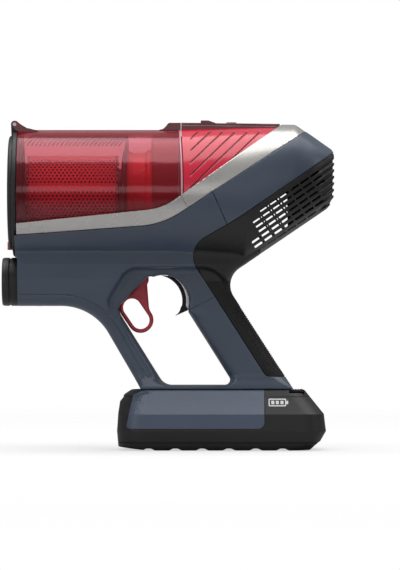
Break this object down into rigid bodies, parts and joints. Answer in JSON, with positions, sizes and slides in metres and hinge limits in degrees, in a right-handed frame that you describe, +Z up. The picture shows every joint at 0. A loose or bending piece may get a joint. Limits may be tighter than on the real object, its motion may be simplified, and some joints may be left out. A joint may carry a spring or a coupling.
{
  "type": "cordless handheld vacuum",
  "caption": "Pistol-shaped cordless handheld vacuum with a clear dust bin, a loop handle with a trigger and pull ring, a vented rear and a slide-off battery.",
  "frame": {"origin": "centre of the battery's underside, on the surface it stands on", "axes": "+X from the suction inlet at the front to the exhaust at the rear, +Y across the vacuum, +Z up"},
  "size_m": [0.2875, 0.1168, 0.2858],
  "materials": {
    "slate_shell": "satin",
    "silver_trim": "satin",
    "black_shell": "satin",
    "black_grip": "matte",
    "red_shell": "gloss",
    "dark_red": "gloss",
    "clear_red": "gloss",
    "screen_red": "satin",
    "lever_red": "gloss",
    "rubber_seal": "matte",
    "steel": "satin",
    "motor_metal": "satin",
    "cast_alloy": "satin",
    "copper_winding": "satin",
    "magnet": "satin",
    "circuit_board": "satin",
    "filter_paper": "matte",
    "foam": "matte",
    "contact_brass": "satin",
    "battery_black": "satin",
    "battery_inlay": "satin",
    "cell_wrap": "gloss",
    "holder_yellow": "satin"
  },
  "bodies": {
    "main_body": {"housing_left": "slate_shell", "housing_right": "slate_shell", "rear_shroud": "slate_shell", "rear_trim": "silver_trim", "exhaust_grille": "black_shell", "grip_pad": "black_grip", "filter_lid": "red_shell", "lid_spine": "dark_red", "bin_bulkhead": "black_shell", "bin_gasket": "rubber_seal", "nozzle_collar": "black_shell", "inlet_duct": "black_shell", "duct_seal": "rubber_seal", "motor_can": "motor_metal", "motor_mounts": "rubber_seal", "motor_stator": "copper_winding", "diffuser": "black_shell", "motor_bearings": "steel", "motor_end_plate": "black_shell", "controller_board": "circuit_board", "exhaust_filter": "filter_paper", "filter_frame": "black_shell", "lever_pins": "steel", "trigger_spring": "steel", "ring_spring": "steel", "trigger_switch": "black_shell", "battery_rail": "black_shell", "dock_contacts": "contact_brass", "housing_screws": "steel"},
    "rotor": {"rotor_magnet": "magnet", "motor_shaft": "steel", "impeller": "cast_alloy"},
    "dust_bin": {"bin_tube": "clear_red", "bin_trim": "silver_trim", "bin_catch": "dark_red", "separator_frame": "red_shell", "separator_screen": "screen_red", "cyclone_cone": "dark_red", "dust_baffle": "clear_red", "foam_filter": "foam", "filter_cage": "black_shell", "door_pin": "steel"},
    "bin_door": {"bin_door": "black_shell", "door_seal": "rubber_seal"},
    "door_latch": {"door_latch": "lever_red"},
    "trigger": {"trigger": "silver_trim", "trigger_pad": "black_grip"},
    "ring_lever": {"ring_lever": "lever_red"},
    "bin_button": {"bin_button": "dark_red"},
    "mode_button": {"mode_button": "dark_red"},
    "wand_latch": {"wand_latch": "lever_red"},
    "battery": {"battery_tread": "battery_black", "battery_case": "battery_black", "battery_lid": "battery_black", "battery_inlays": "battery_inlay", "battery_cells": "cell_wrap", "cell_holder": "holder_yellow", "battery_board": "circuit_board", "charge_socket": "black_shell"},
    "battery_latch": {"battery_latch": "black_grip"}
  },
  "joints": [
    {"name": "rotor_spin", "type": "hinge", "parent": "main_body", "child": "rotor", "pos_m": [0, 0, 0.2225], "axis": [1, 0, 0], "continuous": true},
    {"name": "trigger_pull", "type": "hinge", "parent": "main_body", "child": "trigger", "pos_m": [-0.05, 0, 0.1575], "axis": [0, -1, 0], "range_deg": [0, 8], "stiffness_Nm_per_rad": 0.6, "springref_deg": -6.88},
    {"name": "ring_pull", "type": "hinge", "parent": "main_body", "child": "ring_lever", "pos_m": [-0.066, 0, 0.156], "axis": [0, -1, 0], "range_deg": [0, 14], "stiffness_Nm_per_rad": 0.5, "springref_deg": -11.46},
    {"name": "bin_release_press", "type": "slide", "parent": "main_body", "child": "bin_button", "axis": [0, 0, -1], "range_m": [0, 0.002], "stiffness_N_per_m": 1500, "springref_m": -0.001},
    {"name": "mode_press", "type": "slide", "parent": "main_body", "child": "mode_button", "axis": [0, 0, -1], "range_m": [0, 0.001], "stiffness_N_per_m": 2000, "springref_m": -0.0005},
    {"name": "wand_release", "type": "hinge", "parent": "main_body", "child": "wand_latch", "pos_m": [-0.1664, 0, 0.1264], "axis": [0, -1, 0], "range_deg": [0, 6], "stiffness_Nm_per_rad": 0.3, "springref_deg": -8.59},
    {"name": "bin_pull_off", "type": "slide", "parent": "main_body", "child": "dust_bin", "axis": [-1, 0, 0], "range_m": [0, 0.15]},
    {"name": "bin_door_hinge", "type": "hinge", "parent": "dust_bin", "child": "bin_door", "pos_m": [-0.179, 0, 0.282], "axis": [0, 1, 0], "range_deg": [0, 100]},
    {"name": "door_latch_press", "type": "slide", "parent": "bin_door", "child": "door_latch", "axis": [0, 0, 1], "range_m": [0, 0.003], "stiffness_N_per_m": 800, "springref_m": -0.001},
    {"name": "battery_slide", "type": "slide", "parent": "main_body", "child": "battery", "axis": [1, 0, 0], "range_m": [0, 0.11]},
    {"name": "battery_release_press", "type": "slide", "parent": "battery", "child": "battery_latch", "axis": [0, 0, -1], "range_m": [0, 0.0025], "stiffness_N_per_m": 1500, "springref_m": -0.001}
  ]
}
